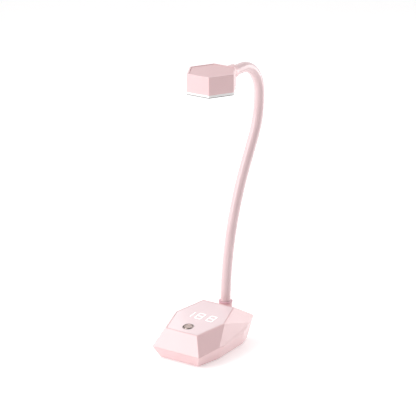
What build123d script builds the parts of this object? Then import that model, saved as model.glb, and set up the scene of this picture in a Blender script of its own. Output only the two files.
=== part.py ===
"""Goose-neck document camera with a faceted base, a display panel and a lit hexagonal head.

Frame: the origin is the centre of the resting face under the base, +X to the right,
+Y to the rear, +Z up.  The user sits on the -Y side.  All sizes are in millimetres.
"""
import os
from math import atan2, cos, pi, radians, sin

from build123d import *

os.makedirs("parts", exist_ok=True)

# ---------------------------------------------------------------- driving dimensions
# Base: the named corners of its right-hand half, mirrored in X for the left-hand half
TOP_FRONT = (26.5, -53.0, 43.5)
TOP_SIDE = (41.0, -6.0, 49.25)
TOP_REAR = (26.5, 41.0, 55.0)
RIM_FRONT = (39.0, -67.0, 18.0)
RIM_SIDE = (50.0, -34.0, 20.84)
RIM_SHOULDER = (47.1, 47.2, 34.7)
RIM_REAR = (40.2, 69.5, 37.5)
SOLE_FRONT = (31.5, -57.0, 0.0)
SOLE_SIDE = (39.0, -18.0, 0.0)
SOLE_CORNER = (36.6, 47.0, 0.0)
SOLE_REAR = (29.6, 68.0, 0.0)
BASE_CORE = Vector(0, 0, 22)      # a point well inside the base

WALL = 2.2                        # shell thickness of the base
EDGE_ROUND = 0.7                  # softening of every moulded outside edge
PAD_PROUD = 0.8                   # how far the anti-slip pad lifts the tray
FIT = 0.15                        # gap all round between parts that drop into each other
PANEL_MARGIN = 1.4                # rim left around the inlaid panel
PANEL_SEAM = 0.45                 # open line all round the panel
PANEL_THICK = 1.2
BUTTON_Y = -29.8                  # along the panel, from its centre
BUTTON_R = 6.6
BEZEL_R = 8.2
BUTTON_TRAVEL = 0.8
BOARD_DEPTH = 15.0                # top of the main board below the panel's face
DIGIT_HEIGHT = 17.0
DIGIT_WIDTH = 11.5
DIGIT_STROKE = 1.9
DIGIT_PROUD = 0.15
DIGIT_LINE_Y = 3.5
DISPLAY = [(1, -19.5), (8, -2.5), (8, 16.5)]    # each digit and its centre across the panel
DISPLAY_CENTRE = (0.0, 3.5)
DISPLAY_WINDOW = (50.0, 22.0)
DISPLAY_BODY = (48.0, 20.0)
MAIN_BOARD = (44.0, 76.0)
WEIGHT_SIZE = (58.0, 74.0, 9.0)   # cast counterweight
CELL_SIZE = (40.0, 34.0, 8.0)     # battery
CELL_Y = 16.0

# Neck: its centreline lies in the plane X = 0 and is a chain of (length, turn in degrees);
# a positive turn leans it to the rear.  It starts upright inside the base collar.
NECK_START_Y = 58.0
NECK_START_Z = 44.0
NECK_STRETCHES = [
    (6.0, 0.0), (202.5, 29.0), (40.4, 0.0), (58.2, -29.0), (6.0, 0.0), (72.3, -90.0), (41.0, 0.0),
]
SLEEVE_R = 7.2                    # silicone sleeve, outside
SLEEVE_BORE_R = 5.0
HOSE_R = 4.8                      # metal goose-neck hose inside the sleeve
HOSE_BORE_R = 2.8
LEAD_R = 1.8                      # bundle of wires inside the hose
BEND_GAP = 4.0                    # room left at each bending point, so that the ends never meet
BEND_POINTS = [32.0, 68.0, 150.0, 240.0, 336.0, 366.0, 392.0]   # along the centreline
COLLAR_R = 9.6
COLLAR_LENGTH = 22.0              # of the collar on the head
RING_THICK = 1.8                  # seal ring at each end of the neck

# Head: an upright hexagon, its corners on the left and right
HEAD_Y = 22.0
HEAD_TOP = 400.0
HEAD_HEIGHT = 29.0
HEAD_CORNER_R = 35.8
HEAD_STRETCH = 1.06               # longer front to rear than a regular hexagon
HEAD_FLARE = 1.016                # the bottom outline against the top one
HEAD_WALL = 1.8
DIFFUSER_BAND = 3.0               # height of the diffuser's edge that shows below the housing
LIGHT_RIM_HEIGHT = 0.8
LENS_HOLE_R = 11.0


# ---------------------------------------------------------------- helpers
def left(corner):
    """The same corner on the left-hand half of the base."""
    return (-corner[0], corner[1], corner[2])


def mirrored_pair(*corners):
    return [corners, tuple(left(c) for c in corners)]


TOP_FACET = (left(TOP_FRONT), TOP_FRONT, TOP_REAR)
SLOPE_FACET = (TOP_REAR, left(TOP_REAR), RIM_REAR)
FACETS = [
    TOP_FACET,
    SLOPE_FACET,
    (TOP_FRONT, left(TOP_FRONT), RIM_FRONT),
    (RIM_FRONT, left(RIM_FRONT), SOLE_FRONT),
    (RIM_REAR, left(RIM_REAR), SOLE_REAR),
    *mirrored_pair(TOP_FRONT, TOP_SIDE, RIM_FRONT),
    *mirrored_pair(TOP_SIDE, RIM_SHOULDER, RIM_SIDE),
    *mirrored_pair(TOP_SIDE, TOP_REAR, RIM_REAR),
    *mirrored_pair(RIM_REAR, SOLE_CORNER, SOLE_REAR),
    *mirrored_pair(RIM_SIDE, SOLE_SIDE, SOLE_CORNER),
    *mirrored_pair(RIM_FRONT, SOLE_SIDE, SOLE_FRONT),
]


def facet_plane(facet, inset=0.0):
    """The plane of a facet, facing out of the base and moved in by inset."""
    a, b, c = (Vector(*corner) for corner in facet)
    normal = (b - a).cross(c - a).normalized()
    if normal.dot(BASE_CORE - a) > 0:
        normal = normal * -1
    return Plane(origin=a - normal * inset, z_dir=normal)


def faceted_block(inset, bottom, top_inset=None, rounded=0.0):
    """The base's solid outer shape, every facet moved in by inset."""
    with BuildPart() as block:
        with BuildSketch(Plane.XY.offset(bottom)):
            Rectangle(160, 180)
        extrude(amount=80)
        for facet in FACETS:
            deeper = top_inset if top_inset is not None and facet is TOP_FACET else inset
            split(bisect_by=facet_plane(facet, deeper), keep=Keep.BOTTOM)
        if rounded:
            fillet(block.edges(), radius=rounded)
    return block.part


def finish(part, name):
    part.label = name
    export_step(part, f"parts/{name}.step")


# The panel's own plane: x to the right, y up its slope, z out of it
tilt = atan2(TOP_REAR[2] - TOP_FRONT[2], TOP_REAR[1] - TOP_FRONT[1])
PANEL = Plane(origin=(0, TOP_SIDE[1], TOP_SIDE[2]), x_dir=(1, 0, 0), z_dir=(0, -sin(tilt), cos(tilt)))
PANEL_OUTLINE = [(x, (y - TOP_SIDE[1]) / cos(tilt)) for x, y, z in (TOP_FRONT, TOP_SIDE, TOP_REAR)]
PANEL_OUTLINE += [(-x, y) for x, y in reversed(PANEL_OUTLINE)]
# The two shells part along a plane parallel to the panel, through the front rim
PARTING = Plane(origin=RIM_FRONT, x_dir=(1, 0, 0), z_dir=PANEL.z_dir)
SCREW_PLACES = [(27, -41), (-27, -41), (27, 44), (-27, 44)]
TRAY_BOTTOM = PAD_PROUD
FLOOR_TOP = TRAY_BOTTOM + 3.2
BOSS_SPLIT = 9.6
SCREW_HEAD_TOP = TRAY_BOTTOM + 4.4

# ---------------------------------------------------------------- base: shells
outer = faceted_block(0.0, TRAY_BOTTOM, rounded=EDGE_ROUND)
cavity = faceted_block(WALL, FLOOR_TOP, top_inset=WALL + PANEL_THICK)
PAD_INSET = 3.0
PAD_RECESS = 1.0
SOLE_OUTLINE = [corner[:2] for corner in (SOLE_FRONT, SOLE_SIDE, SOLE_CORNER, SOLE_REAR)]
SOLE_OUTLINE += [(-x, y) for x, y in reversed(SOLE_OUTLINE)]
USB_Z = 11.0
USB_BODY = (8.9, 7.3, 3.2)
USB_Y = 67.6
USB_BOARD_THICK = 1.2
USB_BOARD_Z = USB_Z - USB_BODY[2] / 2 - USB_BOARD_THICK

# Tongue on the tray that the upper shell drops over, and the groove that takes it
with BuildPart() as tongue:
    add(faceted_block(WALL / 2, TRAY_BOTTOM))
    split(bisect_by=PARTING.offset(1.4), keep=Keep.BOTTOM)
    split(bisect_by=PARTING.offset(-1.0), keep=Keep.TOP)
    add(cavity, mode=Mode.SUBTRACT)

with BuildPart() as groove:
    add(faceted_block(WALL / 2 - 0.1, TRAY_BOTTOM))
    split(bisect_by=PARTING.offset(1.6), keep=Keep.BOTTOM)
    split(bisect_by=PARTING, keep=Keep.TOP)

with BuildPart() as base_tray:
    add(outer)
    split(bisect_by=PARTING.offset(-0.1), keep=Keep.BOTTOM)
    add(cavity, mode=Mode.SUBTRACT)
    add(tongue.part)
    # screw towers with counterbores from below
    with BuildSketch(Plane.XY.offset(TRAY_BOTTOM)):
        with Locations(*SCREW_PLACES):
            Circle(3.6)
    extrude(amount=BOSS_SPLIT - TRAY_BOTTOM)
    with BuildSketch(Plane.XY.offset(TRAY_BOTTOM)):
        with Locations(*SCREW_PLACES):
            Circle(1.5)
    extrude(amount=BOSS_SPLIT, mode=Mode.SUBTRACT)
    with BuildSketch(Plane.XY.offset(TRAY_BOTTOM)):
        with Locations(*SCREW_PLACES):
            Circle(2.6)
    extrude(amount=SCREW_HEAD_TOP - TRAY_BOTTOM, mode=Mode.SUBTRACT)
    # pads under the charging socket's board
    with BuildSketch(Plane.XY.offset(FLOOR_TOP)):
        with Locations((6.5, 49), (-6.5, 49), (6.5, 63), (-6.5, 63)):
            Circle(2.0)
    extrude(amount=USB_BOARD_Z - FLOOR_TOP)
    # recess for the anti-slip pad
    with BuildSketch(Plane.XY.offset(TRAY_BOTTOM)):
        Polygon(*SOLE_OUTLINE, align=None)
        offset(amount=-(PAD_INSET - FIT), kind=Kind.INTERSECTION, mode=Mode.REPLACE)
    extrude(amount=PAD_RECESS, mode=Mode.SUBTRACT)
    # slot for the charging socket in the rear wall
    with BuildSketch(Plane.XZ.offset(-60)):
        with Locations((0, USB_Z)):
            SlotOverall(USB_BODY[0] + 0.6, USB_BODY[2] + 0.6)
    extrude(amount=-15, mode=Mode.SUBTRACT)
finish(base_tray.part, "base_tray")

NECK_SEAT_Z = 33.0                # level underside of the boss that holds the neck
NECK_HOLE_R = 6.1
BUTTON_HOLE_R = BEZEL_R - 0.8
BOARD_POSTS = [(18, -34), (-18, -34), (18, 33), (-18, 33)]

# Solid boss for the neck and the screw towers, kept inside the shell
with BuildPart() as towers:
    with BuildSketch(Plane.XY.offset(NECK_SEAT_Z)):
        with Locations((0, NECK_START_Y)):
            Circle(9.0)
    extrude(amount=40)
    with BuildSketch(Plane.XY.offset(BOSS_SPLIT + 0.2)):
        with Locations(*SCREW_PLACES):
            Circle(3.2)
    extrude(amount=60)
    add(faceted_block(1.0, TRAY_BOTTOM, top_inset=WALL), mode=Mode.INTERSECT)

with BuildPart() as base_housing:
    add(outer)
    split(bisect_by=PARTING.offset(0.1), keep=Keep.TOP)
    add(cavity, mode=Mode.SUBTRACT)
    add(groove.part, mode=Mode.SUBTRACT)
    add(towers.part)
    with BuildSketch(Plane.XY.offset(NECK_SEAT_Z - 1)):
        with Locations((0, NECK_START_Y)):
            Circle(NECK_HOLE_R)
    extrude(amount=40, mode=Mode.SUBTRACT)
    with BuildSketch(Plane.XY.offset(BOSS_SPLIT)):
        with Locations(*SCREW_PLACES):
            Circle(1.05)
    extrude(amount=12, mode=Mode.SUBTRACT)
    # posts that the main board hangs from, with a pin at each end
    with BuildSketch(PANEL.offset(-BOARD_DEPTH)):
        with Locations(*BOARD_POSTS):
            Circle(2.4)
    extrude(amount=BOARD_DEPTH - PANEL_THICK - WALL / 2)
    with BuildSketch(PANEL.offset(-BOARD_DEPTH)):
        with Locations(*BOARD_POSTS):
            Circle(1.25)
    extrude(amount=-2.2)
    # recess for the panel, hole for the button, window for the display
    with BuildSketch(PANEL):
        Polygon(*PANEL_OUTLINE, align=None)
        offset(amount=-PANEL_MARGIN, kind=Kind.INTERSECTION, mode=Mode.REPLACE)
    extrude(amount=-PANEL_THICK, mode=Mode.SUBTRACT)
    with BuildSketch(PANEL):
        with Locations((0, BUTTON_Y)):
            Circle(BUTTON_HOLE_R)
    extrude(amount=-10, mode=Mode.SUBTRACT)
    with BuildSketch(PANEL):
        with Locations(DISPLAY_CENTRE):
            Rectangle(*DISPLAY_WINDOW)
    extrude(amount=-10, mode=Mode.SUBTRACT)
finish(base_housing.part, "base_housing")

# ---------------------------------------------------------------- base: panel and controls
with BuildPart() as touch_panel:
    with BuildSketch(PANEL.offset(-PANEL_THICK)):
        Polygon(*PANEL_OUTLINE, align=None)
        offset(amount=-(PANEL_MARGIN + PANEL_SEAM), kind=Kind.INTERSECTION, mode=Mode.REPLACE)
        with Locations((0, BUTTON_Y)):
            Circle(BEZEL_R + FIT, mode=Mode.SUBTRACT)
    extrude(amount=PANEL_THICK)
finish(touch_panel.part, "touch_panel")


def segments(number):
    """Which strokes are lit: top, upper right, lower right, bottom, lower left, upper left, middle."""
    return {1: (1, 2), 8: (0, 1, 2, 3, 4, 5, 6)}[number]


def segment_places(centre_x, centre_y):
    """Centre and direction of the seven strokes of one digit."""
    dx = (DIGIT_WIDTH - DIGIT_STROKE) / 2
    dy = (DIGIT_HEIGHT - DIGIT_STROKE) / 2
    places = [
        (0, dy, 0), (dx, dy / 2, 90), (dx, -dy / 2, 90), (0, -dy, 0),
        (-dx, -dy / 2, 90), (-dx, dy / 2, 90), (0, 0, 0),
    ]
    return [(centre_x + x, centre_y + y, turn) for x, y, turn in places]


with BuildPart() as display_digits:
    with BuildSketch(PANEL):
        for number, centre_x in DISPLAY:
            strokes = segment_places(centre_x, DIGIT_LINE_Y)
            for index in segments(number):
                x, y, turn = strokes[index]
                reach = (DIGIT_HEIGHT - DIGIT_STROKE) / 2 if turn else DIGIT_WIDTH - DIGIT_STROKE
                with Locations(Location((x, y, 0), (0, 0, turn))):
                    SlotCenterToCenter(reach - 0.5 - DIGIT_STROKE * 0.5, DIGIT_STROKE * 0.8)
    extrude(amount=DIGIT_PROUD)
finish(display_digits.part, "display_digits")

with BuildPart() as display_module:
    with BuildSketch(PANEL.offset(-BOARD_DEPTH)):
        with Locations(DISPLAY_CENTRE):
            Rectangle(*DISPLAY_BODY)
    extrude(amount=BOARD_DEPTH - PANEL_THICK)
finish(display_module.part, "display_module")

with BuildPart() as button_bezel:
    with BuildSketch(PANEL.offset(-PANEL_THICK)):
        with Locations((0, BUTTON_Y)):
            Circle(BEZEL_R)
            Circle(BUTTON_R + 0.3, mode=Mode.SUBTRACT)
    extrude(amount=PANEL_THICK + 0.5)
    chamfer(button_bezel.faces().filter_by(GeomType.PLANE).sort_by(Axis.Z)[-1].edges(), 0.25)
finish(button_bezel.part, "button_bezel")

BUTTON_STEM = 7.0
with BuildPart() as power_button:
    with BuildSketch(PANEL.offset(-PANEL_THICK)):
        with Locations((0, BUTTON_Y)):
            Circle(BUTTON_R)
    extrude(amount=PANEL_THICK + 0.9)
    fillet(power_button.edges().filter_by(GeomType.CIRCLE).sort_by(Axis.Z)[-1], 0.6)
    with BuildSketch(PANEL.offset(-PANEL_THICK)):
        with Locations((0, BUTTON_Y)):
            Circle(2.0)
    extrude(amount=-BUTTON_STEM)
finish(power_button.part, "power_button")

with BuildPart() as button_switch:
    with BuildSketch(PANEL.offset(-BOARD_DEPTH)):
        with Locations((0, BUTTON_Y)):
            Rectangle(6, 6)
    extrude(amount=BOARD_DEPTH - PANEL_THICK - BUTTON_STEM - BUTTON_TRAVEL - 1.2)
    with BuildSketch(PANEL.offset(-(PANEL_THICK + BUTTON_STEM + BUTTON_TRAVEL + 1.2))):
        with Locations((0, BUTTON_Y)):
            Circle(1.7)
    extrude(amount=1.0)
finish(button_switch.part, "button_switch")

with BuildPart() as main_board:
    with BuildSketch(PANEL.offset(-BOARD_DEPTH)):
        RectangleRounded(*MAIN_BOARD, 2)
        with Locations(*BOARD_POSTS):
            Circle(1.3, mode=Mode.SUBTRACT)
    extrude(amount=-1.6)
finish(main_board.part, "main_board")

# ---------------------------------------------------------------- base: inside and underneath
with BuildPart() as counterweight:
    with BuildSketch(Plane.XY.offset(FLOOR_TOP)):
        RectangleRounded(*WEIGHT_SIZE[:2], 4)
    extrude(amount=WEIGHT_SIZE[2])
    chamfer(counterweight.faces().sort_by(Axis.Z)[-1].edges(), 1.0)
finish(counterweight.part, "counterweight")

with BuildPart() as battery:
    with BuildSketch(Plane.XY.offset(FLOOR_TOP + WEIGHT_SIZE[2])):
        with Locations((0, CELL_Y)):
            RectangleRounded(*CELL_SIZE[:2], 3)
    extrude(amount=CELL_SIZE[2])
    fillet(battery.faces().sort_by(Axis.Z)[-1].edges(), 1.5)
finish(battery.part, "battery")

with BuildPart() as usb_board:
    with BuildSketch(Plane.XY.offset(USB_BOARD_Z)):
        with Locations((0, 55)):
            Rectangle(18, 20)
    extrude(amount=USB_BOARD_THICK)
finish(usb_board.part, "usb_board")

with BuildPart() as usb_socket:
    with BuildSketch(Plane.XZ.offset(-(USB_Y - USB_BODY[1]))):
        with Locations((0, USB_Z)):
            SlotOverall(USB_BODY[0], USB_BODY[2])
    extrude(amount=-USB_BODY[1])
    with BuildSketch(Plane.XZ.offset(-USB_Y)):
        with Locations((0, USB_Z)):
            SlotOverall(USB_BODY[0] - 0.6, USB_BODY[2] - 0.6)
            Rectangle(6.7, 0.7, mode=Mode.SUBTRACT)
    extrude(amount=USB_BODY[1] - 1.0, mode=Mode.SUBTRACT)
finish(usb_socket.part, "usb_socket")

with BuildPart() as anti_slip_pad:
    with BuildSketch():
        Polygon(*SOLE_OUTLINE, align=None)
        offset(amount=-PAD_INSET, kind=Kind.INTERSECTION, mode=Mode.REPLACE)
    extrude(amount=PAD_PROUD + PAD_RECESS)
    chamfer(anti_slip_pad.faces().sort_by(Axis.Z)[0].edges(), 0.4)
finish(anti_slip_pad.part, "anti_slip_pad")

with BuildPart() as base_screws:
    with BuildSketch(Plane.XY.offset(SCREW_HEAD_TOP - 1.9)):
        with Locations(*SCREW_PLACES):
            Circle(2.3)
    extrude(amount=1.9)
    with BuildSketch(Plane.XY.offset(SCREW_HEAD_TOP)):
        with Locations(*SCREW_PLACES):
            Circle(1.05)
    extrude(amount=12.0)
    with BuildSketch(Plane.XY.offset(SCREW_HEAD_TOP - 1.9)):
        with Locations(*SCREW_PLACES):
            Rectangle(2.6, 0.6)
            Rectangle(0.6, 2.6)
    extrude(amount=1.0, mode=Mode.SUBTRACT)
finish(base_screws.part, "base_screws")


# ---------------------------------------------------------------- neck
def neck_point(along):
    """Place on the neck's centreline and its lean from upright, at a length from its start."""
    y, z, lean = NECK_START_Y, NECK_START_Z, 0.0
    for length, turn in NECK_STRETCHES:
        part = min(along, length)
        if turn:
            curve = radians(turn) / length
            end = lean + curve * part
            y += (cos(lean) - cos(end)) / curve
            z += (sin(end) - sin(lean)) / curve
            lean = end
        else:
            y += part * sin(lean)
            z += part * cos(lean)
        along -= part
        if along <= 1e-9:
            break
    return Vector(0, y, z), lean


def neck_section(along):
    """The plane square to the neck at a length from its start."""
    place, lean = neck_point(along)
    return Plane(origin=place, x_dir=(1, 0, 0), z_dir=(0, sin(lean), cos(lean)))


NECK_LENGTH = sum(length for length, turn in NECK_STRETCHES)


def neck_tube(start, end, radius, bore=0.0):
    """A tube that follows the neck's centreline between two lengths."""
    with BuildPart() as tube:
        with BuildLine():
            reached = 0.0
            for length, turn in NECK_STRETCHES:
                a, b = max(start, reached), min(end, reached + length)
                if b - a > 1e-6:
                    if turn:
                        ThreePointArc(neck_point(a)[0], neck_point((a + b) / 2)[0], neck_point(b)[0])
                    else:
                        Line(neck_point(a)[0], neck_point(b)[0])
                reached += length
        with BuildSketch(neck_section(start)):
            Circle(radius)
            if bore:
                Circle(bore, mode=Mode.SUBTRACT)
        sweep()
    return tube.part


SLEEVE_START = 6.0                # the sleeve's end sits on a shoulder inside each collar
SLEEVE_END = NECK_LENGTH - COLLAR_LENGTH + 8.0
ends = [0.0, *BEND_POINTS, NECK_LENGTH]
for index in range(len(ends) - 1):
    first, last = index == 0, index == len(ends) - 2
    half = BEND_GAP / 2
    low = SLEEVE_START if first else ends[index] + half
    high = SLEEVE_END if last else ends[index + 1] - half
    finish(neck_tube(low, high, SLEEVE_R, SLEEVE_BORE_R), f"neck_sleeve_{index}")
    low = 0.0 if first else low
    high = NECK_LENGTH if last else high
    finish(neck_tube(low, high, HOSE_R, HOSE_BORE_R), f"neck_hose_{index}")
    finish(neck_tube(low, high, LEAD_R), f"neck_leads_{index}")

COLLAR_TOP_Z = 54.5
COLLAR_SHOULDER_Z = NECK_START_Z + SLEEVE_START
with BuildPart() as neck_base_collar:
    with BuildSketch(Plane.XY.offset(NECK_SEAT_Z)):
        with Locations((0, NECK_START_Y)):
            Circle(COLLAR_R)
    extrude(amount=COLLAR_TOP_Z - RING_THICK - NECK_SEAT_Z)
    split(bisect_by=facet_plane(SLOPE_FACET, -0.02), keep=Keep.TOP)
    with BuildSketch(Plane.XY.offset(NECK_SEAT_Z - 8)):
        with Locations((0, NECK_START_Y)):
            Circle(NECK_HOLE_R - 0.1)
    extrude(amount=COLLAR_SHOULDER_Z - NECK_SEAT_Z + 8)
    with BuildSketch(Plane.XY.offset(COLLAR_SHOULDER_Z)):
        with Locations((0, NECK_START_Y)):
            Circle(SLEEVE_R + 0.05)
    extrude(amount=20, mode=Mode.SUBTRACT)
    with BuildSketch(Plane.XY.offset(NECK_SEAT_Z - 8)):
        with Locations((0, NECK_START_Y)):
            Circle(HOSE_R + 0.05)
    extrude(amount=40, mode=Mode.SUBTRACT)
finish(neck_base_collar.part, "neck_base_collar")

with BuildPart() as base_seal_ring:
    with BuildSketch(Plane.XY.offset(COLLAR_TOP_Z - RING_THICK)):
        with Locations((0, NECK_START_Y)):
            Circle(COLLAR_R)
            Circle(SLEEVE_R + 0.05, mode=Mode.SUBTRACT)
    extrude(amount=RING_THICK)
    top_edges = base_seal_ring.edges().filter_by(GeomType.CIRCLE).group_by(Axis.Z)[-1]
    fillet(top_edges.sort_by(SortBy.RADIUS)[-1], 0.9)
finish(base_seal_ring.part, "base_seal_ring")

with BuildPart() as neck_nut:
    with BuildSketch(Plane.XY.offset(NECK_SEAT_Z - 6)):
        with Locations((0, NECK_START_Y)):
            RegularPolygon(9.0, 6)
            Circle(NECK_HOLE_R - 0.05, mode=Mode.SUBTRACT)
    extrude(amount=6.0)
finish(neck_nut.part, "neck_nut")


# ---------------------------------------------------------------- head
def head_outline(inset, height, wall=0.0):
    """The head's hexagon at a height above its bottom, moved in by inset; a ring if it has a wall."""
    radius = HEAD_CORNER_R * (HEAD_FLARE + (1 - HEAD_FLARE) * height / HEAD_HEIGHT)

    def hexagon(smaller):
        r = radius - smaller / cos(pi / 6)
        return [(r * cos(k * pi / 3), r * HEAD_STRETCH * sin(k * pi / 3)) for k in range(6)]

    with BuildSketch(Plane(origin=(0, HEAD_Y, HEAD_TOP - HEAD_HEIGHT + height))) as outline:
        Polygon(*hexagon(inset), align=None)
        if wall:
            Polygon(*hexagon(inset + wall), align=None, mode=Mode.SUBTRACT)
    return outline.sketch


HEAD_BOTTOM = HEAD_TOP - HEAD_HEIGHT
HOUSING_FOOT = LIGHT_RIM_HEIGHT + DIFFUSER_BAND
HEAD_REAR_Y = HEAD_Y + HEAD_CORNER_R * HEAD_STRETCH * sin(pi / 3)
TOP_PLATE_INSET = 2.4
TOP_PLATE_THICK = 1.6
TOP_PLATE_SINK = 0.5              # the plate sits a little below the rim
ROOF = 1.6
NECK_Z = neck_point(NECK_LENGTH)[0].Z
HEAD_SCREWS = [(21, 12), (-21, 12), (21, -12), (-21, -12)]
LED_BOARD_Z = HEAD_BOTTOM + 6.0
CAMERA_BOARD_Z = HEAD_TOP - 10.0
CAMERA_BOARD_THICK = 1.2
COLLAR_PLANE = Plane(origin=(0, HEAD_REAR_Y, NECK_Z), x_dir=(1, 0, 0), z_dir=(0, 1, 0))
head_level = HEAD_HEIGHT - TOP_PLATE_SINK - TOP_PLATE_THICK

with BuildPart() as head_housing:
    add(head_outline(0, HOUSING_FOOT))
    add(head_outline(0, HEAD_HEIGHT))
    loft()
    fillet(head_housing.edges().filter_by(GeomType.LINE), radius=0.6)
    add(head_outline(HEAD_WALL, HOUSING_FOOT))
    extrude(amount=head_level - ROOF - HOUSING_FOOT, mode=Mode.SUBTRACT)
    add(head_outline(TOP_PLATE_INSET, head_level))
    extrude(amount=20, mode=Mode.SUBTRACT)
    # towers for the screws that hold the light unit
    with BuildSketch(Plane(origin=(0, HEAD_Y, LED_BOARD_Z + 1.6))):
        with Locations(*HEAD_SCREWS):
            Circle(2.6)
    extrude(until=Until.NEXT)
    with BuildSketch(Plane(origin=(0, HEAD_Y, LED_BOARD_Z + 1.6))):
        with Locations(*HEAD_SCREWS):
            Circle(0.85)
    extrude(amount=9, mode=Mode.SUBTRACT)
    # posts for the camera board, under the roof
    with BuildSketch(Plane(origin=(0, HEAD_Y, CAMERA_BOARD_Z + CAMERA_BOARD_THICK))):
        with GridLocations(22, 22, 2, 2):
            Circle(2.0)
    extrude(until=Until.NEXT)
    # flat and round hole for the neck's fitting in the rear wall
    with BuildSketch(COLLAR_PLANE):
        Circle(COLLAR_R + FIT)
    extrude(amount=10, mode=Mode.SUBTRACT)
    with BuildSketch(COLLAR_PLANE.offset(-8)):
        Circle(NECK_HOLE_R)
    extrude(amount=20, mode=Mode.SUBTRACT)
finish(head_housing.part, "head_housing")

with BuildPart() as head_top_plate:
    add(head_outline(TOP_PLATE_INSET + FIT, head_level))
    extrude(amount=TOP_PLATE_THICK)
    chamfer(head_top_plate.faces().sort_by(Axis.Z)[-1].edges(), 0.4)
finish(head_top_plate.part, "head_top_plate")

DIFFUSER_PLATE = 1.6
with BuildPart() as diffuser:
    add(head_outline(0.35, LIGHT_RIM_HEIGHT))
    extrude(amount=DIFFUSER_BAND)
    add(head_outline(0.35 + 1.6, LIGHT_RIM_HEIGHT + DIFFUSER_PLATE))
    extrude(amount=20, mode=Mode.SUBTRACT)
    # inner wall that locates the diffuser inside the housing
    add(head_outline(HEAD_WALL + FIT, LIGHT_RIM_HEIGHT + DIFFUSER_PLATE, wall=1.2))
    extrude(amount=DIFFUSER_BAND)
    with BuildSketch(Plane(origin=(0, HEAD_Y, HEAD_BOTTOM))):
        Circle(LENS_HOLE_R)
    extrude(amount=20, mode=Mode.SUBTRACT)
finish(diffuser.part, "diffuser")

with BuildPart() as light_rim:
    add(head_outline(0.35, 0, wall=2.4))
    extrude(amount=LIGHT_RIM_HEIGHT)
finish(light_rim.part, "light_rim")

BOARD_THICK = 1.6
with BuildPart() as led_board:
    add(head_outline(HEAD_WALL + 1.0, LED_BOARD_Z - HEAD_BOTTOM))
    extrude(amount=BOARD_THICK)
    with BuildSketch(Plane(origin=(0, HEAD_Y, LED_BOARD_Z))):
        Circle(LENS_HOLE_R - 0.4)
        with Locations(*HEAD_SCREWS):
            Circle(1.1)
    extrude(amount=BOARD_THICK, mode=Mode.SUBTRACT)
finish(led_board.part, "led_board")

LED_SIZE = 2.8
with BuildPart() as leds:
    with BuildSketch(Plane(origin=(0, HEAD_Y, LED_BOARD_Z))):
        with PolarLocations(15.5, 12):
            Rectangle(LED_SIZE, LED_SIZE)
        with PolarLocations(24.5, 12, start_angle=15):
            Rectangle(LED_SIZE, LED_SIZE)
    extrude(amount=-0.8)
finish(leds.part, "leds")

with BuildPart() as head_screws:
    with BuildSketch(Plane(origin=(0, HEAD_Y, LED_BOARD_Z))):
        with Locations(*HEAD_SCREWS):
            Circle(1.7)
    extrude(amount=-1.3)
    with BuildSketch(Plane(origin=(0, HEAD_Y, LED_BOARD_Z))):
        with Locations(*HEAD_SCREWS):
            Circle(0.85)
    extrude(amount=8.0)
finish(head_screws.part, "head_screws")

# Camera: a board under the roof, a holder that carries the threaded lens barrel, and a cover glass
LENS_FRONT_Z = HEAD_BOTTOM + 1.2
with BuildPart() as camera_board:
    with BuildSketch(Plane(origin=(0, HEAD_Y, CAMERA_BOARD_Z))):
        RectangleRounded(28, 28, 2)
    extrude(amount=CAMERA_BOARD_THICK)
finish(camera_board.part, "camera_board")

with BuildPart() as image_sensor:
    with BuildSketch(Plane(origin=(0, HEAD_Y, CAMERA_BOARD_Z))):
        Rectangle(7.4, 6.4)
    extrude(amount=-1.0)
finish(image_sensor.part, "image_sensor")

HOLDER_R = 8.6
BARREL_R = 6.0
with BuildPart() as lens_holder:
    with BuildSketch(Plane(origin=(0, HEAD_Y, CAMERA_BOARD_Z))):
        Circle(HOLDER_R)
        Circle(BARREL_R + 0.05, mode=Mode.SUBTRACT)
    extrude(amount=-9.0)
finish(lens_holder.part, "lens_holder")

BARREL_TOP_Z = CAMERA_BOARD_Z - 3.0
BARREL_LENGTH = BARREL_TOP_Z - LENS_FRONT_Z - 2.2
with BuildPart() as lens_barrel:
    with BuildSketch(Plane(origin=(0, HEAD_Y, BARREL_TOP_Z))):
        Circle(BARREL_R)
        Circle(4.2, mode=Mode.SUBTRACT)
    extrude(amount=-BARREL_LENGTH)
    chamfer(lens_barrel.edges().filter_by(GeomType.CIRCLE).group_by(Axis.Z)[0].sort_by(SortBy.RADIUS)[0], 0.8)
finish(lens_barrel.part, "lens_barrel")

with BuildPart() as front_lens:
    with BuildSketch(Plane(origin=(0, HEAD_Y, BARREL_TOP_Z - BARREL_LENGTH + 1.2))):
        Circle(4.15)
    extrude(amount=1.8)
    fillet(front_lens.edges().filter_by(GeomType.CIRCLE).group_by(Axis.Z)[0], 0.8)
finish(front_lens.part, "front_lens")

with BuildPart() as lens_bezel:
    with BuildSketch(Plane(origin=(0, HEAD_Y, HEAD_BOTTOM + 0.2))):
        Circle(LENS_HOLE_R - FIT)
        Circle(8.0, mode=Mode.SUBTRACT)
    extrude(amount=4.0)
    with BuildSketch(Plane(origin=(0, HEAD_Y, HEAD_BOTTOM + 1.0))):
        Circle(9.0)
    extrude(amount=1.2, mode=Mode.SUBTRACT)
    with BuildSketch(Plane(origin=(0, HEAD_Y, HEAD_BOTTOM + LIGHT_RIM_HEIGHT + DIFFUSER_PLATE))):
        Circle(LENS_HOLE_R + 1.2)
        Circle(LENS_HOLE_R - FIT, mode=Mode.SUBTRACT)
    extrude(amount=0.9)
finish(lens_bezel.part, "lens_bezel")

with BuildPart() as cover_glass:
    with BuildSketch(Plane(origin=(0, HEAD_Y, HEAD_BOTTOM + 1.1))):
        Circle(8.95)
    extrude(amount=1.1)
finish(cover_glass.part, "cover_glass")

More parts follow.
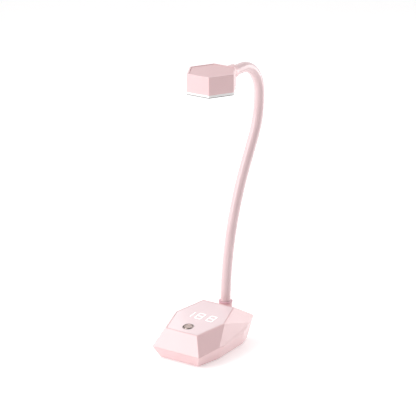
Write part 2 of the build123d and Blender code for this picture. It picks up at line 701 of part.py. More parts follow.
# Fitting that joins the neck to the head: collar, seal ring and a nut inside the rear wall
FITTING_IN = -8.0
with BuildPart() as neck_head_collar:
    with BuildSketch(COLLAR_PLANE.offset(RING_THICK)):
        Circle(COLLAR_R)
    extrude(amount=COLLAR_LENGTH - RING_THICK)
    mouth_edges = neck_head_collar.edges().filter_by(GeomType.CIRCLE).group_by(Axis.Y)[-1]
    fillet(mouth_edges.sort_by(SortBy.RADIUS)[-1], 1.2)
    with BuildSketch(COLLAR_PLANE.offset(FITTING_IN)):
        Circle(NECK_HOLE_R - 0.1)
    extrude(amount=RING_THICK - FITTING_IN)
    with BuildSketch(COLLAR_PLANE.offset(COLLAR_LENGTH - 8.0)):
        Circle(SLEEVE_R + 0.05)
    extrude(amount=20, mode=Mode.SUBTRACT)
    with BuildSketch(COLLAR_PLANE.offset(FITTING_IN)):
        Circle(HOSE_R + 0.05)
    extrude(amount=40, mode=Mode.SUBTRACT)
finish(neck_head_collar.part, "neck_head_collar")

with BuildPart() as head_seal_ring:
    with BuildSketch(COLLAR_PLANE):
        Circle(COLLAR_R)
        Circle(NECK_HOLE_R, mode=Mode.SUBTRACT)
    extrude(amount=RING_THICK)
finish(head_seal_ring.part, "head_seal_ring")

with BuildPart() as head_nut:
    with BuildSketch(COLLAR_PLANE.offset(-HEAD_WALL - 4.0)):
        RegularPolygon(8.5, 6)
        Circle(NECK_HOLE_R - 0.05, mode=Mode.SUBTRACT)
    extrude(amount=4.0)
finish(head_nut.part, "head_nut")

print("neck length", round(NECK_LENGTH, 1), "ends at", neck_point(NECK_LENGTH)[0])
print("rear face of the head", round(HEAD_REAR_Y, 2))
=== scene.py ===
# %% [markdown]
# # A goose-neck document camera
#
# This lesson dresses a finished CAD model of a small document camera: a faceted base with a
# number display and a round button, a bendable neck in a silicone sleeve, and a hexagonal head
# that holds a camera and a ring of lights.
#
# The CAD model is the fixed frame. It says where everything is and how it moves. What the CAD
# shape gets right keeps its mesh and only gets a finish. What it leaves plain is modelled again
# here, at the same place and size, and rides on the same body.

# %% Load the frame
import math

import bpy
from mathutils import Matrix, Vector


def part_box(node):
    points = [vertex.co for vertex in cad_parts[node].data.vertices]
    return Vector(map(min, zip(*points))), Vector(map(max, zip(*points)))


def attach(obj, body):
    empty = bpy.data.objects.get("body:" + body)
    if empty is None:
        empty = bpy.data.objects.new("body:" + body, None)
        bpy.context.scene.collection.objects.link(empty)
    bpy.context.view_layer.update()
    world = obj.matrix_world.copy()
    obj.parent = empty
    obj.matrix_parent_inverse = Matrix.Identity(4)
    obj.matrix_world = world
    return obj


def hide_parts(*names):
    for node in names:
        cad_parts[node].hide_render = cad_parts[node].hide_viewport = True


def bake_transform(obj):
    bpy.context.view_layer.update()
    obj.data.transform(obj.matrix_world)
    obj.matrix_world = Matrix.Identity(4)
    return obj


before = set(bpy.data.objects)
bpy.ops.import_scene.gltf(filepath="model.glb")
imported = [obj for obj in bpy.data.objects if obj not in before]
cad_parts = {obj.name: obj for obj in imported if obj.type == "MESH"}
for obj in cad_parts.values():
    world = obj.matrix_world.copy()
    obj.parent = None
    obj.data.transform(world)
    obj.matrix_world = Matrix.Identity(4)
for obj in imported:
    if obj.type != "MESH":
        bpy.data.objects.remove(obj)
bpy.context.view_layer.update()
MM = 0.001                       # the scene is in metres, and the sizes below are in millimetres

# %% [markdown]
# ## The camera
#
# A long lens from almost three metres keeps the object's edges nearly parallel, as in a
# catalogue picture. The camera is placed by its azimuth and elevation round a point on the
# object, and aimed a little beside that point to put the object where it belongs in the frame.

# %% Camera
AZIMUTH, ELEVATION = math.radians(34.26), math.radians(19.31)
CAMERA_DISTANCE = 2.936
LENS_MM = 184.7
CLIP_END = 40
STAND_POINT = Vector((0, -0.006, 0.190))
AIM_RIGHT, AIM_UP = 0.0109, 0.0199


def direction(azimuth, elevation):
    """From the object to a viewer; azimuth 0 is the front, and a positive one is to the right."""
    flat = math.cos(elevation)
    return Vector((math.sin(azimuth) * flat, -math.cos(azimuth) * flat, math.sin(elevation)))


back = direction(AZIMUTH, ELEVATION)
right = Vector((math.cos(AZIMUTH), math.sin(AZIMUTH), 0))
up = back.cross(right)
aim = STAND_POINT + right * AIM_RIGHT + up * AIM_UP
stand = STAND_POINT + back * CAMERA_DISTANCE
bpy.ops.object.camera_add(location=stand, rotation=(aim - stand).to_track_quat("-Z", "Y").to_euler())
camera = bpy.context.object
camera.data.lens = LENS_MM
camera.data.clip_end = CLIP_END
scene = bpy.context.scene
scene.camera = camera
print("camera at", tuple(round(v, 3) for v in stand))

# %% [markdown]
# ## The studio
#
# Pale glossy plastic shows its facets only when the light comes from one side. So one large
# softbox stands on the front left, one behind on the right, and a small one overhead. Nothing
# shines on the facets that face right, between the two boxes, and they stay the darkest.
# The Standard view keeps pale colours as they are mixed; a filmic view would grey them.

# %% Softboxes
SOFTBOXES = {
    "softbox_front_left": dict(azimuth=-34, elevation=26, distance=1.5, size=1.0, watts=12),
    "softbox_rear_right": dict(azimuth=152, elevation=7, distance=1.6, size=1.0, watts=11),
    "strip_overhead": dict(azimuth=-80, elevation=70, distance=1.5, size=0.5, watts=2.5),
}
LIGHT_CENTRE = Vector((0, 0, 0.2))
for name, box in SOFTBOXES.items():
    towards = direction(math.radians(box["azimuth"]), math.radians(box["elevation"]))
    turn = (-towards).to_track_quat("-Z", "Y").to_euler()
    place = LIGHT_CENTRE + towards * box["distance"]
    bpy.ops.object.light_add(type="AREA", radius=box["size"], location=place, rotation=turn)
    lamp = bpy.context.object
    lamp.name = name
    lamp.data.energy = box["watts"]
    lamp.data.size = box["size"]

# A strip light behind on the left: its mirror image makes the glare along the panel's left edge
GLARE_TOWARDS = Vector((-0.529, 0.682, 0.505))
PANEL_CENTRE = Vector((0, -0.006, 0.04925))
STRIP_DISTANCE, STRIP_SHIFT = 0.9, Vector((-0.118, 0, 0))
STRIP_WIDTH, STRIP_LENGTH, STRIP_WATTS = 0.10, 0.30, 0.12
bpy.ops.object.light_add(
    type="AREA", location=PANEL_CENTRE + GLARE_TOWARDS * STRIP_DISTANCE + STRIP_SHIFT,
    rotation=(-GLARE_TOWARDS).to_track_quat("-Z", "Y").to_euler(),
)
strip = bpy.context.object
strip.name = "strip_rear_left"
strip.data.shape = "RECTANGLE"
strip.data.size, strip.data.size_y = STRIP_WIDTH, STRIP_LENGTH
strip.data.energy = STRIP_WATTS
scene.view_settings.view_transform = "Standard"
print("softboxes", len(SOFTBOXES))


# %% [markdown]
# ## Colour and nodes
#
# Colours are given as they look on a screen, and one function turns them to linear light. One
# more function adds a node with its settings and its links. Every material, and the sky, is
# built from these two.

# %% Two helpers
def linear(hex_colour):
    """A screen colour such as 'e8cbcc' as the linear colour that a shader wants."""
    parts = [int(hex_colour[i:i + 2], 16) / 255 for i in (0, 2, 4)]
    parts = [c / 12.92 if c <= 0.04045 else ((c + 0.055) / 1.055) ** 2.4 for c in parts]
    return (*parts, 1)


def add_node(tree, kind, inputs=None, **settings):
    """Adds a node. A value in inputs is a number, a colour, or another node's output to link."""
    made = tree.nodes.new(kind)
    for key, value in settings.items():
        setattr(made, key, value)
    for key, value in (inputs or {}).items():
        if isinstance(value, bpy.types.NodeSocket):
            tree.links.new(value, made.inputs[key])
        else:
            made.inputs[key].default_value = value
    return made


# %% [markdown]
# **The sky** is an even white, darker on the right, as if a grey curtain hung there. That side
# has no softbox either, so the right-hand facets turn a deeper pink than the front ones.

# %% Sky
CURTAIN = direction(math.radians(60), math.radians(14))
SKY_LIGHT, SKY_DARK = 0.87, 0.10
CURTAIN_EDGE, CURTAIN_MIDDLE = 0.45, 0.97     # cosines of the angle from its middle
scene.world = bpy.data.worlds.new("white_sky")
scene.world.use_nodes = True
sky = scene.world.node_tree
ray = add_node(sky, "ShaderNodeTexCoord").outputs["Generated"]
facing = add_node(sky, "ShaderNodeVectorMath", {0: ray, 1: CURTAIN}, operation="DOT_PRODUCT")
shade = add_node(
    sky, "ShaderNodeMapRange",
    {0: facing.outputs["Value"], 1: CURTAIN_EDGE, 2: CURTAIN_MIDDLE, 3: SKY_LIGHT, 4: SKY_DARK},
    interpolation_type="SMOOTHSTEP",
)
sky.nodes["Background"].inputs["Color"].default_value = (1, 1, 1, 1)
sky.links.new(shade.outputs[0], sky.nodes["Background"].inputs["Strength"])


# %% [markdown]
# ## Moulded plastics and rubbers
#
# The shells are **ABS from a spark-eroded mould**: a satin skin of fine pits, and a colour that
# drifts very slightly where the melt cooled at different rates. Real pits are a tenth of a
# millimetre apart; they are drawn at a third, the finest that still shows. The inlaid panel is
# the same blush but polished, and the sleeve is silicone with a soft sheen. They differ only in
# colour, roughness and grain, so one function makes them all.

# %% Moulded finishes
NOISE_LOW, NOISE_HIGH = 0.3, 0.7     # a noise texture hardly leaves this range
GLOSS_SPREAD = 0.04


def moulded(name, colour, deeper, roughness=0.38, pit_mm=0.35, pit_depth_mm=0.006, drift_mm=45):
    """A moulded skin: two close colours in slow drifts, and pits that break up the gloss."""
    material = bpy.data.materials.new(name)
    material.use_nodes = True
    tree, shader = material.node_tree, material.node_tree.nodes["Principled BSDF"]
    place = add_node(tree, "ShaderNodeTexCoord").outputs["Object"]
    slow = {"Vector": place, "Scale": 1 / (drift_mm * MM), "Detail": 1.0}
    drift = add_node(tree, "ShaderNodeTexNoise", slow)
    share = add_node(tree, "ShaderNodeMapRange", {0: drift.outputs["Fac"], 1: NOISE_LOW, 2: NOISE_HIGH})
    tones = {0: share.outputs[0], 6: linear(colour), 7: linear(deeper)}
    mixed = add_node(tree, "ShaderNodeMix", tones, data_type="RGBA")
    fine = {"Vector": place, "Scale": 1 / (pit_mm * MM), "Detail": 2.0}
    pits = add_node(tree, "ShaderNodeTexNoise", fine)
    least, most = roughness - GLOSS_SPREAD, roughness + GLOSS_SPREAD
    spread = {0: pits.outputs["Fac"], 1: NOISE_LOW, 2: NOISE_HIGH, 3: least, 4: most}
    gloss = add_node(tree, "ShaderNodeMapRange", spread)
    skin = add_node(tree, "ShaderNodeBump", {"Height": pits.outputs["Fac"], "Distance": pit_depth_mm * MM})
    tree.links.new(mixed.outputs[2], shader.inputs["Base Color"])
    tree.links.new(gloss.outputs[0], shader.inputs["Roughness"])
    tree.links.new(skin.outputs["Normal"], shader.inputs["Normal"])
    shader.inputs["IOR"].default_value = 1.5
    return material


def shader_of(material):
    return material.node_tree.nodes["Principled BSDF"].inputs


# The shells: satin ABS, pale blush, and the head's sunk lid one tone deeper
shell_abs = moulded("blush_abs_satin", "e9c6c8", "e7c3c5")
shader_of(shell_abs)["Coat Weight"].default_value = 0.6
shader_of(shell_abs)["Coat Roughness"].default_value = 0.25
lid_abs = moulded("blush_abs_lid", "debabc", "dbb7b9")
# The panel over the display: polished acrylic-faced sheet, nearly white where the sky mirrors in it
panel_sheet = moulded(
    "blush_acrylic_panel", "edd7da", "ebd5d8", roughness=0.22, pit_mm=0.6, pit_depth_mm=0.002,
)
shader_of(panel_sheet)["Coat Weight"].default_value = 0.4
shader_of(panel_sheet)["Coat Roughness"].default_value = 0.08
# The sleeve: extruded silicone, smoother than the shells, so the softboxes draw long streaks on it
silicone = moulded(
    "blush_silicone_sleeve", "e4c9cb", "e2c6c8", roughness=0.18, pit_mm=0.5, pit_depth_mm=0.003,
)
shader_of(silicone)["Sheen Weight"].default_value = 0.1
shader_of(silicone)["Sheen Roughness"].default_value = 0.4
# The two seal rings: glossy elastomer, rose. The same rose on the strip in the panel's seam is painted shade
rose_rubber_and_seam_shade = moulded(
    "rose_elastomer_and_seam_shade", "dcb0ba", "d7aab5", roughness=0.22, pit_mm=0.5, pit_depth_mm=0.002,
)
# The rim under the diffuser: its grey is darkened as painted shade, to draw the shadow line below the
# diffuser's band
grey_rim_with_painted_shade = moulded("grey_abs_rim_with_painted_shade", "6a6565", "645f5f", roughness=0.5)
black_abs = moulded("black_abs_fine", "1c1b1c", "171617", roughness=0.5, pit_mm=0.5)
wire_pvc = moulded("black_pvc_sheath", "2c2b2d", "272628", roughness=0.5)
battery_film = moulded("blue_battery_film", "3f63a8", "3a5c9e", roughness=0.3, pit_mm=1.5)
solder_mask = moulded("green_solder_mask", "1f5a37", "1b5232", roughness=0.35, pit_mm=0.8)
white_mask = moulded("white_solder_mask", "f1f1ee", "ecece9", roughness=0.4, pit_mm=0.8)
# The diffuser: frosted polycarbonate, light travels two millimetres inside it
diffuser_pc = moulded(
    "frosted_polycarbonate", "f8f6f5", "f4f2f1", roughness=0.55, pit_mm=0.4, pit_depth_mm=0.01,
)
shader_of(diffuser_pc)["Subsurface Weight"].default_value = 0.4
shader_of(diffuser_pc)["Subsurface Radius"].default_value = (0.002, 0.002, 0.002)
print("moulded finishes", len(bpy.data.materials))

# %% [markdown]
# **The anti-slip pad** is a sheet of soft rubber with ribs across it every 2.5 mm. The ribs are
# a wave in the bump, because they are only a quarter of a millimetre high.

# %% Ribbed rubber
RIB_PITCH_MM, RIB_HEIGHT_MM = 2.5, 0.25
WAVE_REPEAT = 0.314              # the length after which a wave texture repeats at scale 1
pad_rubber = moulded("ribbed_pad_rubber", "8d8687", "827b7c", roughness=0.75, pit_mm=0.8)
tree = pad_rubber.node_tree
place = add_node(tree, "ShaderNodeTexCoord").outputs["Object"]
ribs = add_node(
    tree, "ShaderNodeTexWave",
    {"Vector": place, "Scale": WAVE_REPEAT / (RIB_PITCH_MM * MM), "Distortion": 0.0}, bands_direction="Y",
)
ribbed = add_node(
    tree, "ShaderNodeBump",
    {
        "Height": ribs.outputs["Fac"], "Distance": RIB_HEIGHT_MM * MM,
        "Normal": tree.nodes["Bump"].outputs["Normal"],
    },
)
tree.links.new(ribbed.outputs["Normal"], shader_of(pad_rubber)["Normal"])


# %% [markdown]
# ## Metals, lights and glass
#
# Plated, spun and cast metals differ in colour, in roughness and in how far apart their scratches
# are. The spun cap of the button also gets its lathe rings, in the section where it is made.

# %% Metals
SCRATCH_DEPTH_MM = 0.001


def metal(name, colour, roughness, scratch_mm=0.25):
    """A bare metal with fine scratches in its gloss."""
    material = bpy.data.materials.new(name)
    material.use_nodes = True
    tree, shader = material.node_tree, material.node_tree.nodes["Principled BSDF"]
    place = add_node(tree, "ShaderNodeTexCoord").outputs["Object"]
    scratched = {"Vector": place, "Scale": 1 / (scratch_mm * MM), "Detail": 3.0}
    fine = add_node(tree, "ShaderNodeTexNoise", scratched)
    spread = {0: fine.outputs["Fac"], 1: NOISE_LOW, 2: NOISE_HIGH, 3: roughness * 0.8, 4: roughness * 1.2}
    gloss = add_node(tree, "ShaderNodeMapRange", spread)
    scratches = {"Height": fine.outputs["Fac"], "Distance": SCRATCH_DEPTH_MM * MM}
    skin = add_node(tree, "ShaderNodeBump", scratches)
    shader.inputs["Base Color"].default_value = linear(colour)
    shader.inputs["Metallic"].default_value = 1.0
    tree.links.new(gloss.outputs[0], shader.inputs["Roughness"])
    tree.links.new(skin.outputs["Normal"], shader.inputs["Normal"])
    return material


chrome = metal("bright_chrome_plate", "a89f9c", 0.08)
spun_metal = metal("spun_aluminium", "b9a8a3", 0.3)
plated_steel = metal("zinc_plated_steel", "b5b5b3", 0.3)
cast_iron = metal("cast_iron", "4a4846", 0.6, scratch_mm=1.2)


# %% Lit plastic and glass
CLOUD_MM, SMEAR_MM = 3, 4


def lit_plastic(name, colour, strength):
    """A clear plastic window with a lamp behind it, slightly cloudy."""
    material = bpy.data.materials.new(name)
    material.use_nodes = True
    tree, shader = material.node_tree, material.node_tree.nodes["Principled BSDF"]
    place = add_node(tree, "ShaderNodeTexCoord").outputs["Object"]
    cloud = add_node(tree, "ShaderNodeTexNoise", {"Vector": place, "Scale": 1 / (CLOUD_MM * MM)})
    gloss = add_node(tree, "ShaderNodeMapRange", {0: cloud.outputs["Fac"], 3: 0.3, 4: 0.45})
    tree.links.new(gloss.outputs[0], shader.inputs["Roughness"])
    shader.inputs["Base Color"].default_value = linear(colour)
    shader.inputs["Emission Color"].default_value = linear(colour)
    shader.inputs["Emission Strength"].default_value = strength
    return material


display_light = lit_plastic("lit_display_window", "fffcfb", 0.25)
led_phosphor = lit_plastic("led_phosphor_gel", "f0e29a", 0.15)

lens_glass = bpy.data.materials.new("coated_lens_glass")
lens_glass.use_nodes = True
tree = lens_glass.node_tree
place = add_node(tree, "ShaderNodeTexCoord").outputs["Object"]
smear = add_node(tree, "ShaderNodeTexNoise", {"Vector": place, "Scale": 1 / (SMEAR_MM * MM)})
gloss = add_node(tree, "ShaderNodeMapRange", {0: smear.outputs["Fac"], 3: 0.01, 4: 0.04})
tree.links.new(gloss.outputs[0], shader_of(lens_glass)["Roughness"])
shader_of(lens_glass)["Base Color"].default_value = linear("e6eef6")
shader_of(lens_glass)["Transmission Weight"].default_value = 1.0
shader_of(lens_glass)["IOR"].default_value = 1.52
print("all finishes", len(bpy.data.materials))

# %% Finishes onto the CAD pieces
NECK_PIECES = 8
FINISHES = {
    shell_abs: ["base_tray", "base_housing", "head_housing", "neck_base_collar", "neck_head_collar"],
    lid_abs: ["head_top_plate"],
    panel_sheet: ["touch_panel"],
    rose_rubber_and_seam_shade: ["base_seal_ring", "head_seal_ring"],
    display_light: ["display_digits"],
    black_abs: [
        "display_module", "button_switch", "image_sensor", "lens_holder", "lens_barrel", "lens_bezel",
    ],
    chrome: ["button_bezel"],
    spun_metal: ["power_button"],
    solder_mask: ["main_board", "usb_board", "camera_board"],
    white_mask: ["led_board"],
    cast_iron: ["counterweight"],
    battery_film: ["battery"],
    plated_steel: ["usb_socket", "base_screws", "head_screws", "neck_nut", "head_nut"],
    pad_rubber: ["anti_slip_pad"],
    diffuser_pc: ["diffuser"],
    grey_rim_with_painted_shade: ["light_rim"],
    led_phosphor: ["leds"],
    lens_glass: ["front_lens", "cover_glass"],
}
for index in range(NECK_PIECES):
    FINISHES[shell_abs].append(f"neck_sleeve_{index}")
    FINISHES[plated_steel].append(f"neck_hose_{index}")
    FINISHES.setdefault(wire_pvc, []).append(f"neck_leads_{index}")
for finish, node_names in FINISHES.items():
    for node_name in node_names:
        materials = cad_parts[node_name].data.materials
        materials.clear()
        materials.append(finish)
print("CAD pieces with a finish", sum(len(names) for names in FINISHES.values()), "of", len(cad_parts))

# %% [markdown]
# **The floor** is a sheet of white acrylic over a light box, as on a catalogue studio's table: it
# glows a little, so the object's shadow stays faint and the undersides stay pale.

# %% Floor
FLOOR_SIZE, FLOOR_DROP_MM, FLOOR_GLOW = 24, 0.2, 0.27
bpy.ops.object.select_all(action="DESELECT")
bpy.ops.mesh.primitive_plane_add(size=FLOOR_SIZE)
floor = bpy.context.object
floor.name = "floor"
floor.location.z = -FLOOR_DROP_MM * MM     # the pad rests on it, and the two faces must not flicker
sheet = moulded(
    "white_acrylic_table", "f4f3f3", "f1f0f0", roughness=0.6, pit_mm=4, pit_depth_mm=0.01, drift_mm=400,
)
shader_of(sheet)["Emission Color"].default_value = (1, 1, 1, 1)
shader_of(sheet)["Emission Strength"].default_value = FLOOR_GLOW
floor.data.materials.append(sheet)


# %% [markdown]
# ## The neck's sleeve
#
# The real sleeve is one smooth silicone tube over a metal goose-neck hose. It has to bend at
# every joint of the model, so it is made in seven stretches that meet halfway between the
# joints, one round each joint; the script does not set them to bend. A circle is laid across the neck's start
# and pulled
# along the centreline: straight runs by extruding, curved runs by spinning about the centre of
# the curve. Solidify then gives the tube its wall.

# %% The neck's centreline
NECK_START = Vector((0, 0.058, 0.044))
NECK_RUNS = [
    (6.0, 0.0), (202.5, 29.0), (40.4, 0.0), (58.2, -29.0), (6.0, 0.0), (72.3, -90.0), (41.0, 0.0),
]
BENDS = [32.0, 68.0, 150.0, 240.0, 336.0, 366.0, 392.0]
SLEEVE_FROM, SLEEVE_TO = 6.0, 412.4
SLEEVE_RADIUS, SLEEVE_WALL = 7.2, 0.9
SLEEVE_SIDES, RING_STEP = 48, 2.4     # corners of a ring of the mesh, and the distance between rings
MERGE_WITHIN = 1e-6


def along_neck(length):
    """The centreline's point, and its lean to the rear, at a length in mm from its start."""
    point, lean = NECK_START.copy(), 0.0
    for run, turn in NECK_RUNS:
        step = min(length, run)
        if turn:
            curve = math.radians(turn) / run
            end = lean + curve * step
            point += Vector((0, math.cos(lean) - math.cos(end), math.sin(end) - math.sin(lean))) * MM / curve
            lean = end
        else:
            point += Vector((0, math.sin(lean), math.cos(lean))) * step * MM
        length -= step
        if length <= 1e-9:
            break
    return point, lean


def runs_between(start, end):
    """The straight and curved runs between two lengths: from, to, and the turn in radians."""
    reached = 0.0
    for run, turn in NECK_RUNS:
        low, high = max(start, reached), min(end, reached + run)
        if high - low > 1e-6:
            yield low, high, math.radians(turn) * (high - low) / run
        reached += run


# %% One stretch of sleeve
SLEEVE_SMOOTH = math.radians(40)


def sleeve_stretch(name, start, end):
    """A tube round the centreline from one length to another, with its wall."""
    bpy.ops.object.select_all(action="DESELECT")
    point, lean = along_neck(start)
    bpy.ops.mesh.primitive_circle_add(
        vertices=SLEEVE_SIDES, radius=SLEEVE_RADIUS * MM, fill_type="NOTHING",
        location=point, rotation=(-lean, 0, 0),
    )
    tube = bpy.context.object
    tube.name = tube.data.name = name
    bpy.ops.object.transform_apply(location=True, rotation=True, scale=True)
    bpy.ops.object.mode_set(mode="EDIT")
    bpy.ops.mesh.select_all(action="SELECT")
    for low, high, turn in runs_between(start, end):
        steps = max(2, round((high - low) / RING_STEP))
        point, lean = along_neck(low)
        if turn:
            side = Vector((0, math.cos(lean), -math.sin(lean)))
            centre = point + side * MM * (high - low) / turn
            bpy.ops.mesh.spin(steps=steps, angle=turn, center=centre, axis=(1, 0, 0))
        else:
            pull = Vector((0, math.sin(lean), math.cos(lean))) * (high - low) * MM / steps
            for step in range(steps):
                bpy.ops.mesh.extrude_region_move(TRANSFORM_OT_translate={"value": pull})
    bpy.ops.mesh.select_all(action="SELECT")
    bpy.ops.mesh.remove_doubles(threshold=MERGE_WITHIN)
    bpy.ops.mesh.normals_make_consistent(inside=False)
    bpy.ops.object.mode_set(mode="OBJECT")
    bpy.ops.object.modifier_add(type="SOLIDIFY")
    wall = tube.modifiers[-1]
    wall.thickness, wall.offset = SLEEVE_WALL * MM, -1.0
    bpy.ops.object.modifier_apply(modifier=wall.name)
    bpy.ops.object.shade_smooth_by_angle(angle=SLEEVE_SMOOTH)
    tube.data.materials.append(silicone)
    return tube


# %% The seven stretches, one round each joint
meets = [SLEEVE_FROM] + [(a + b) / 2 for a, b in zip(BENDS, BENDS[1:])] + [SLEEVE_TO]
COLLAR_MOUTHS = (11.0, 404.0)    # for the first and last stretch, the bend reach below is measured only outside their collars
LONGEST_HALF = 30.0              # the bend reach is equal on both sides of its joint, so that the sleeve would stay round the stiff hose inside it; the reach is only printed
                                 # the sleeve stays round the stiff hose inside it
for index, (low, high) in enumerate(zip(meets, meets[1:])):
    stretch = sleeve_stretch(f"sleeve_stretch_{index}", low, high)
    joint = BENDS[index]
    half = min(joint - max(low, COLLAR_MOUTHS[0]), min(high, COLLAR_MOUTHS[1]) - joint, LONGEST_HALF)
    bend_from, bend_to = along_neck(joint - half)[0], along_neck(joint + half)[0]
    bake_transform(stretch)
    replaced = [f"neck_sleeve_{index}"] + (["neck_sleeve_7"] if index == 6 else [])
    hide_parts(*replaced)
    print(stretch.name, "bends over", round(2 * half, 1), "mm")


# %% [markdown]
# ## Turned pieces
#
# The button's ring, its cap, the seal rings, the lens and its surround are all round. On a lathe
# each is a profile turned about an axis. Here a circle is drawn at the profile's first point and
# extruded to each next point, then scaled to its radius, so every corner of the profile is one
# ring of the mesh. Corners that the real tool leaves round have more points in the profile.

# %% Turning
TURNED_SMOOTH = math.radians(35)


def turned(name, profile, centre, tilt, vertices=64):
    """A round piece from (radius, height) points in mm; its axis is Z turned by tilt about X."""
    bpy.ops.object.select_all(action="DESELECT")
    closed = profile[0] == profile[-1]
    radius, height = profile[0]
    bpy.ops.mesh.primitive_circle_add(
        vertices=vertices, radius=radius * MM, fill_type="NOTHING", location=(0, 0, height * MM)
    )
    piece = bpy.context.object
    piece.name = piece.data.name = name
    bpy.ops.object.transform_apply(location=True, rotation=True, scale=True)
    bpy.ops.object.mode_set(mode="EDIT")
    bpy.ops.mesh.select_all(action="SELECT")
    for new_radius, new_height in profile[1:]:
        lift = Vector((0, 0, (new_height - height) * MM))
        bpy.ops.mesh.extrude_region_move(TRANSFORM_OT_translate={"value": lift})
        scale = new_radius / radius
        bpy.ops.transform.resize(value=(scale, scale, 1), center_override=(0, 0, new_height * MM))
        radius, height = new_radius, new_height
    bpy.ops.mesh.select_all(action="SELECT")
    bpy.ops.mesh.remove_doubles(threshold=MERGE_WITHIN)
    if not closed:
        bpy.ops.mesh.select_all(action="DESELECT")
        bpy.ops.mesh.select_non_manifold()
        bpy.ops.mesh.fill_holes(sides=0)
    bpy.ops.mesh.select_all(action="SELECT")
    bpy.ops.mesh.normals_make_consistent(inside=False)
    bpy.ops.object.mode_set(mode="OBJECT")
    bpy.ops.object.shade_smooth_by_angle(angle=TURNED_SMOOTH)
    piece.data.transform(Matrix.Translation(centre) @ Matrix.Rotation(tilt, 4, "X"))
    return piece


# %% [markdown]
# **The power button** is a spun aluminium cap inside a chrome ring. The cap is dished, with one
# step near its edge and fine lathe rings, so it goes from dark to light as it turns to the
# light. The ring has a rolled lip.

# %% Button and ring
PANEL_FRONT, PANEL_REAR = (-53.0, 43.5), (41.0, 55.0)     # y and z of two points on the panel's plane
PANEL_TILT = math.atan2(PANEL_REAR[1] - PANEL_FRONT[1], PANEL_REAR[0] - PANEL_FRONT[0])
PANEL_UP = Vector((0, math.cos(PANEL_TILT), math.sin(PANEL_TILT)))
BUTTON_FORWARD_MM, BUTTON_SIDES = 29.8, 96
BUTTON_CENTRE = PANEL_CENTRE - PANEL_UP * BUTTON_FORWARD_MM * MM
ring = turned(
    "chrome_button_ring",
    [(8.2, -1.2), (8.2, 0.1), (8.0, 0.45), (7.5, 0.55), (7.05, 0.4), (6.9, 0.0), (6.9, -1.2), (8.2, -1.2)],
    BUTTON_CENTRE, PANEL_TILT, vertices=BUTTON_SIDES,
)
ring.data.materials.append(chrome)
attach(ring, "base")
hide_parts("button_bezel")
cap = turned(
    "spun_button_cap",
    [
        (2.0, -8.2), (2.0, -1.2), (6.6, -1.2), (6.6, -0.3), (6.2, 0.2), (6.0, 0.75), (5.6, 0.88), (5.2, 0.55),
        (4.2, 0.42), (2.8, 0.34), (1.4, 0.3), (0.4, 0.29),
    ],
    BUTTON_CENTRE, PANEL_TILT, vertices=BUTTON_SIDES,
)
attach(cap, "button")
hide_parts("power_button")

# %% Lathe rings on the cap
LATHE_PITCH_MM = 0.5             # real ones are a tenth of that, too fine to show
LATHE_DEPTH_MM = 0.02
lathe_metal = metal("spun_aluminium_cap", "bba9a4", 0.22)
tree = lathe_metal.node_tree
place = add_node(tree, "ShaderNodeTexCoord").outputs["Object"]
# centred on the button: the mapping moves its centre to zero and lays its face flat
on_cap = add_node(
    tree, "ShaderNodeMapping",
    {"Vector": place, "Location": BUTTON_CENTRE, "Rotation": (PANEL_TILT, 0, 0)}, vector_type="TEXTURE",
)
lathe = add_node(
    tree, "ShaderNodeTexWave",
    {"Vector": on_cap.outputs[0], "Scale": WAVE_REPEAT / (LATHE_PITCH_MM * MM), "Distortion": 0.0},
    wave_type="RINGS", rings_direction="Z",
)
rings = add_node(
    tree, "ShaderNodeBump",
    {
        "Height": lathe.outputs["Fac"], "Distance": LATHE_DEPTH_MM * MM,
        "Normal": tree.nodes["Bump"].outputs["Normal"],
    },
)
tree.links.new(rings.outputs["Normal"], shader_of(lathe_metal)["Normal"])
cap.data.materials.append(lathe_metal)
print("button at", tuple(round(v, 4) for v in BUTTON_CENTRE))

# %% [markdown]
# **The seal rings** close the neck's two ends. Each is a soft ring with a rounded outside and a
# thin lip. The lower one sits on the base's collar and wipes the sleeve; the upper one is
# squeezed between the head's rear wall and the head's collar.

# %% Seal rings
RING_ROUND, RING_OUTER = 0.35, 9.6
LOWER_INNER, UPPER_INNER = 7.25, 6.1


def seal_ring(name, low, high, inner, outer, centre, tilt):
    """A ring with a bulging outside and a lip, between two heights in mm along its axis."""
    bulge = outer + RING_ROUND
    middle = (low + high) / 2
    profile = [
        (outer, low), (bulge, low + RING_ROUND), (bulge + 0.1, middle), (bulge, high - RING_ROUND),
        (outer - 0.2, high),
        (inner + 0.5, high + 0.15), (inner, high - 0.1), (inner, low), (outer, low),
    ]
    piece = turned(name, profile, centre, tilt, vertices=80)
    piece.data.materials.append(rose_rubber_and_seam_shade)
    return piece


low_corner, high_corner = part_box("base_seal_ring")
lower_ring = seal_ring(
    "rose_base_ring", low_corner[2] / MM, high_corner[2] / MM, LOWER_INNER, RING_OUTER,
    Vector((0, NECK_START.y, 0)), 0.0,
)
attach(lower_ring, "base")
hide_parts("base_seal_ring")
low_corner, high_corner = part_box("head_seal_ring")
neck_height = (low_corner[2] + high_corner[2]) / 2
upper_ring = seal_ring(
    "rose_head_ring", -(high_corner[1] - low_corner[1]) / MM, 0.0, UPPER_INNER, RING_OUTER,
    Vector((0, low_corner[1], neck_height)), math.pi / 2,
)
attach(upper_ring, "head")
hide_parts("head_seal_ring")
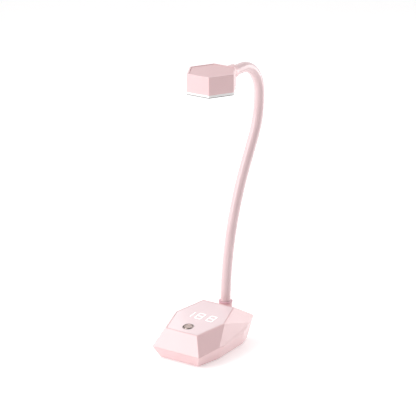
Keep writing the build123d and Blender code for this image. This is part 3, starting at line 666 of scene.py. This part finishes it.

# %% [markdown]
# ** The panel's seam strip** is painted shade: a thin rose strip that fills the seam round the panel and
# darkens it where a shadow line falls. It follows the panel's six corners, so it starts as a filled circle
# of six points that are moved to the corners, inset to the seam, inset again to the strip's width and
# extruded down to a wall.

# %% Painted-shade strip in the panel's seam
SEAM_INSET, SEAM_WIDTH, SEAM_DEPTH, SHADE_STRIP_DROP = 1.42, 0.41, 1.0, 0.12
SLOPE = math.cos(PANEL_TILT)
PANEL_CORNERS = [
    (26.5, -47 / SLOPE), (41.0, 0.0), (26.5, 47 / SLOPE),
    (-26.5, 47 / SLOPE), (-41.0, 0.0), (-26.5, -47 / SLOPE),
]
# the strip stands in for the seam's shadow line: painted shade, coloured rose
bpy.ops.object.select_all(action="DESELECT")
bpy.ops.mesh.primitive_circle_add(vertices=6, radius=0.04, fill_type="NGON")
seam_shade_strip = bpy.context.object
seam_shade_strip.name = seam_shade_strip.data.name = "panel_seam_shade_strip"
for vertex, (x, y) in zip(seam_shade_strip.data.vertices, PANEL_CORNERS):
    vertex.co = (x * MM, y * MM, 0)
bpy.ops.object.mode_set(mode="EDIT")
bpy.ops.mesh.select_all(action="SELECT")
bpy.ops.mesh.normals_make_consistent(inside=False)
# each inset selects the inner face: the first keeps it, and the second keeps the rim round it
for thickness in (SEAM_INSET, SEAM_WIDTH):
    bpy.ops.mesh.inset(thickness=thickness * MM, use_boundary=True)
    if thickness == SEAM_INSET:
        bpy.ops.mesh.select_all(action="INVERT")
    bpy.ops.mesh.delete(type="FACE")
    bpy.ops.mesh.select_all(action="SELECT")
bpy.ops.mesh.extrude_region_move(TRANSFORM_OT_translate={"value": (0, 0, -SEAM_DEPTH * MM)})
bpy.ops.mesh.select_all(action="SELECT")
bpy.ops.mesh.normals_make_consistent(inside=False)
bpy.ops.object.mode_set(mode="OBJECT")
seam_shade_strip.data.transform(Matrix.Translation(PANEL_CENTRE) @ Matrix.Rotation(PANEL_TILT, 4, "X"))
seam_shade_strip.data.transform(Matrix.Translation((0, 0, -SHADE_STRIP_DROP * MM)))
seam_shade_strip.data.materials.append(rose_rubber_and_seam_shade)
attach(seam_shade_strip, "base")
print("gasket faces", len(seam_shade_strip.data.polygons))

# %% [markdown]
# ## The camera's front
#
# Under the head, in the middle of the diffuser, the camera looks down through a cover glass. Its
# surround has a rolled lip, the lens barrel narrows to the lens in steps that catch stray light,
# and the front lens bulges. Its coating is a film a few hundred nanometres thick, which gives
# the violet glint.

# %% Surround, barrel and front lens
HEAD_BOTTOM = Vector((0, 0.022, 0.371))
LENS_TIP_MM, SURROUND_SIDES = 4.32, 96
surround = turned(
    "lens_surround",
    [
        (10.85, 0.6), (10.65, 0.25), (10.2, 0.2), (9.6, 0.25), (9.15, 0.6), (9.0, 1.0), (9.0, 2.25),
        (8.2, 2.25), (7.9, 2.6), (7.9, 4.2), (10.85, 4.2), (10.85, 3.3), (12.2, 3.3), (12.2, 2.4),
        (10.85, 2.4), (10.85, 0.6),
    ],
    HEAD_BOTTOM, 0.0, vertices=SURROUND_SIDES,
)
surround.data.materials.append(black_abs)
barrel = turned(
    "lens_barrel_stepped",
    [
        (6.0, 16.0), (6.0, 3.7), (5.7, 3.4), (5.3, 3.4), (5.2, 3.9), (4.85, 3.9), (4.8, 4.3), (4.5, 4.3),
        (4.45, 4.6), (4.2, 4.6), (4.2, 16.0), (6.0, 16.0),
    ],
    HEAD_BOTTOM, 0.0,
)
barrel.data.materials.append(black_abs)
lens = turned(
    "front_lens_convex",
    [
        (4.15, 6.4), (4.15, 5.4), (3.7, 4.98), (3.1, 4.74), (2.4, 4.55), (1.6, 4.42), (0.8, 4.34),
        (0.2, LENS_TIP_MM),
    ],
    HEAD_BOTTOM, 0.0,
)
coated = lens_glass.copy()
coated.name = "violet_coated_lens"
shader_of(coated)["Thin Film Thickness"].default_value = 360
shader_of(coated)["Thin Film IOR"].default_value = 1.38
lens.data.materials.append(coated)
for piece, node_name, slot in (
    (surround, "lens_bezel", "black_plastic"),
    (barrel, "lens_barrel", "black_metal"),
    (lens, "front_lens", "lens_glass"),
):
    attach(piece, "head")
    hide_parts(node_name)
print("lens front at", round(HEAD_BOTTOM.z / MM + LENS_TIP_MM, 1), "mm")
